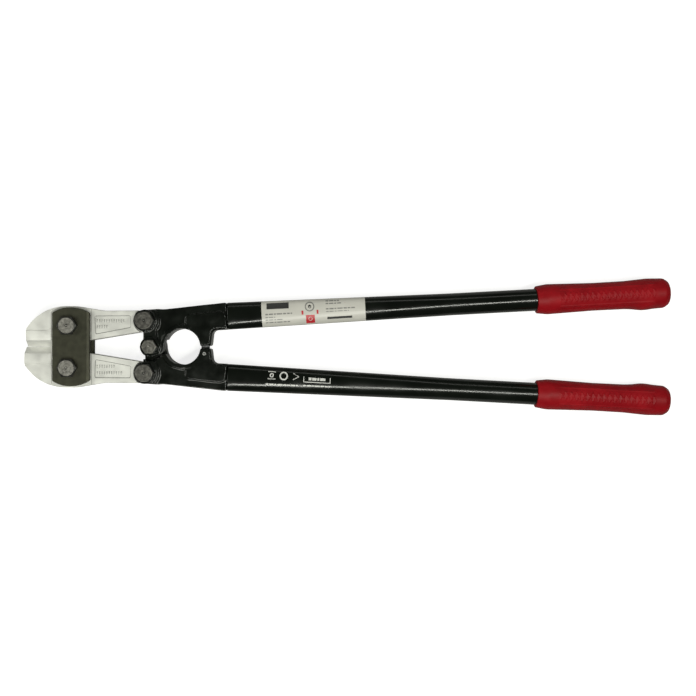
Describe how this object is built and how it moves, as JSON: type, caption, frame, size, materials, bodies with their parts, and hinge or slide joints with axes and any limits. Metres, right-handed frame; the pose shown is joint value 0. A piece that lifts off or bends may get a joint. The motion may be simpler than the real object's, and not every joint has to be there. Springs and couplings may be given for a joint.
{
  "type": "bolt cutters",
  "caption": "Long-handled bolt cutters with compound leverage: jaws between straps, forged handle heads, tube handles and moulded grips.",
  "frame": {"origin": "centre of the bounding box in X and Y, on the surface the tool lies on", "axes": "+X along the handles towards the grips, +Y across the tool towards the labelled handle, +Z out of the front face"},
  "size_m": [0.62, 0.1324, 0.034],
  "materials": {
    "blackened_steel": "blackened, ground faces",
    "jaw_steel": "satin plated forging with ground cutting bands",
    "bolt_steel": "turned and oiled",
    "nut_steel": "dull zinc",
    "black_enamel": "gloss black enamel",
    "red_vinyl": "soft satin vinyl",
    "buffer_rubber": "hard black rubber",
    "pin_steel": "bright spring steel",
    "label_film": "printed satin film"
  },
  "bodies": {
    "strap_set": {"front_strap": "blackened_steel", "rear_strap": "blackened_steel", "upper_jaw_bolt": "bolt_steel", "lower_jaw_bolt": "bolt_steel", "upper_jaw_washer": "nut_steel", "lower_jaw_washer": "nut_steel", "upper_jaw_nut": "nut_steel", "lower_jaw_nut": "nut_steel"},
    "upper_jaw": {"upper_jaw": "jaw_steel"},
    "lower_jaw": {"lower_jaw": "jaw_steel"},
    "upper_handle": {"upper_handle_head": "black_enamel", "upper_handle_tube": "black_enamel", "upper_grip": "red_vinyl", "upper_tail_bolt": "bolt_steel", "upper_tail_washer": "nut_steel", "upper_tail_nut": "nut_steel", "centre_bolt": "bolt_steel", "centre_washer": "nut_steel", "centre_nut": "nut_steel", "handle_label": "label_film"},
    "lower_handle": {"lower_handle_head": "black_enamel", "lower_handle_tube": "black_enamel", "lower_grip": "red_vinyl", "lower_tail_bolt": "bolt_steel", "lower_tail_washer": "nut_steel", "lower_tail_nut": "nut_steel", "stop_buffer": "buffer_rubber", "stop_pin": "pin_steel"}
  },
  "joints": [
    {"name": "upper_jaw_pivot", "type": "hinge", "parent": "strap_set", "child": "upper_jaw", "pos_m": [-0.267, 0.0202, 0.0176], "axis": [0, 0, 1], "range_deg": [-8.41, 0]},
    {"name": "lower_jaw_pivot", "type": "hinge", "parent": "strap_set", "child": "lower_jaw", "pos_m": [-0.267, -0.0202, 0.0176], "axis": [0, 0, 1], "range_deg": [0, 8.41]},
    {"name": "upper_handle_pivot", "type": "hinge", "parent": "upper_jaw", "child": "upper_handle", "pos_m": [-0.1934, 0.0251, 0.0176], "axis": [0, 0, 1], "range_deg": [0, 53.4]},
    {"name": "lower_handle_pivot", "type": "hinge", "parent": "lower_jaw", "child": "lower_handle", "pos_m": [-0.1934, -0.0251, 0.0176], "axis": [0, 0, 1], "range_deg": [-53.4, 0]}
  ],
  "couplings": [
    {"joint": "upper_jaw_pivot", "follows": "upper_handle_pivot", "ratio": -0.15745},
    {"joint": "lower_jaw_pivot", "follows": "upper_handle_pivot", "ratio": 0.15745},
    {"joint": "lower_handle_pivot", "follows": "upper_handle_pivot", "ratio": -1}
  ]
}
